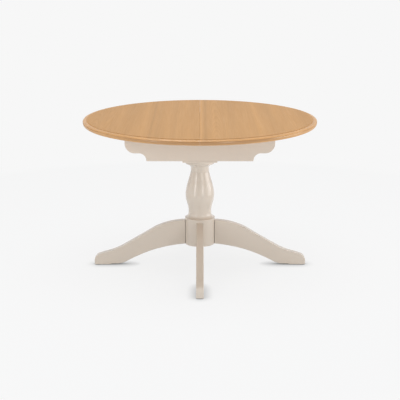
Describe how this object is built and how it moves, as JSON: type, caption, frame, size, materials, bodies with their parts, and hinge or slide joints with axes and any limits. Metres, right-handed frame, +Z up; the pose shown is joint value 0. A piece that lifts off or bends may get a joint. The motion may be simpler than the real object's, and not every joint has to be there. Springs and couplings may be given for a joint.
{
  "type": "extending dining table",
  "caption": "Round pedestal dining table whose oak top parts at a central seam to take a folded leaf stored in the painted frame.",
  "frame": {"origin": "on the floor under the middle of the column", "axes": "+Z up; the front faces -Y; the seam of the top runs along Y and the halves part along X"},
  "size_m": [1.1579, 1.158, 0.76],
  "materials": {
    "oak": "satin lacquered oak, grain along Y",
    "stone_paint": "satin stone-grey paint on wood",
    "beech": "planed bare beech",
    "dowel_beech": "fluted bare beech dowel",
    "nylon": "natural nylon",
    "zinc_steel": "zinc-plated steel",
    "yellow_screw": "yellow-passivated steel",
    "hinge_brass": "brass-plated steel",
    "glide_plastic": "dark moulded nylon"
  },
  "bodies": {
    "base": {"apron_front": "stone_paint", "apron_back": "stone_paint", "track_front": "beech", "track_back": "beech", "track_screws": "yellow_screw", "end_board": "beech", "glue_blocks": "beech", "block_screws": "yellow_screw", "leaf_bearer_left": "beech", "leaf_bearer_right": "beech", "leaf_guides": "beech", "frame_screws": "yellow_screw", "column_bearer": "stone_paint", "bridge": "beech", "bridge_screws": "yellow_screw", "pinion_pin": "zinc_steel", "column": "stone_paint", "column_dowels": "dowel_beech", "hub": "stone_paint", "hub_cover": "stone_paint", "cover_screws": "yellow_screw", "tie_rod": "zinc_steel", "tie_nuts": "zinc_steel", "tie_washers": "zinc_steel", "leg_right": "stone_paint", "leg_back": "stone_paint", "leg_left": "stone_paint", "leg_front": "stone_paint", "leg_bolts": "zinc_steel", "leg_nuts": "zinc_steel", "leg_washers": "zinc_steel", "toe_glides": "glide_plastic"},
    "left_top": {"top_half_left": "oak", "runner_left_front": "beech", "runner_left_back": "beech", "runner_screws_left": "yellow_screw", "rack_left": "nylon", "rack_left_screws": "yellow_screw", "seam_dowels": "dowel_beech", "lock_plates": "zinc_steel", "lock_screws": "yellow_screw"},
    "right_top": {"top_half_right": "oak", "runner_right_front": "beech", "runner_right_back": "beech", "runner_screws_right": "yellow_screw", "rack_right": "nylon", "rack_right_screws": "yellow_screw", "keeper_plates": "zinc_steel", "keeper_screws": "yellow_screw"},
    "pinion": {"pinion": "nylon"},
    "folded_leaf": {"leaf_wing_upper": "oak", "leaf_wing_lower": "oak", "leaf_dowels": "dowel_beech", "hinge_plates_upper": "hinge_brass", "hinge_plates_lower": "hinge_brass", "hinge_pins": "hinge_brass", "hinge_screws": "yellow_screw"},
    "front_lock": {"lock_lever_front": "zinc_steel"},
    "back_lock": {"lock_lever_back": "zinc_steel"}
  },
  "joints": [
    {"name": "left_top_slide", "type": "slide", "parent": "base", "child": "left_top", "axis": [-1, 0, 0], "range_m": [0, 0.19]},
    {"name": "right_top_slide", "type": "slide", "parent": "base", "child": "right_top", "axis": [1, 0, 0], "range_m": [0, 0.19]},
    {"name": "pinion_turn", "type": "hinge", "parent": "base", "child": "pinion", "pos_m": [0, 0, 0.725], "axis": [0, 0, 1], "range_deg": [0, 435.5]},
    {"name": "leaf_slide", "type": "slide", "parent": "base", "child": "folded_leaf", "axis": [1, 0, 0], "range_m": [0, 0.65]},
    {"name": "front_lock_turn", "type": "hinge", "parent": "left_top", "child": "front_lock", "pos_m": [-0.026, -0.43215, 0.73], "axis": [0, 0, 1], "range_deg": [0, 90]},
    {"name": "back_lock_turn", "type": "hinge", "parent": "left_top", "child": "back_lock", "pos_m": [-0.026, 0.43215, 0.73], "axis": [0, 0, -1], "range_deg": [0, 90]}
  ],
  "couplings": [
    {"joint": "right_top_slide", "follows": "left_top_slide", "ratio": 1},
    {"joint": "pinion_turn", "follows": "left_top_slide", "rad_per_m": 40}
  ]
}
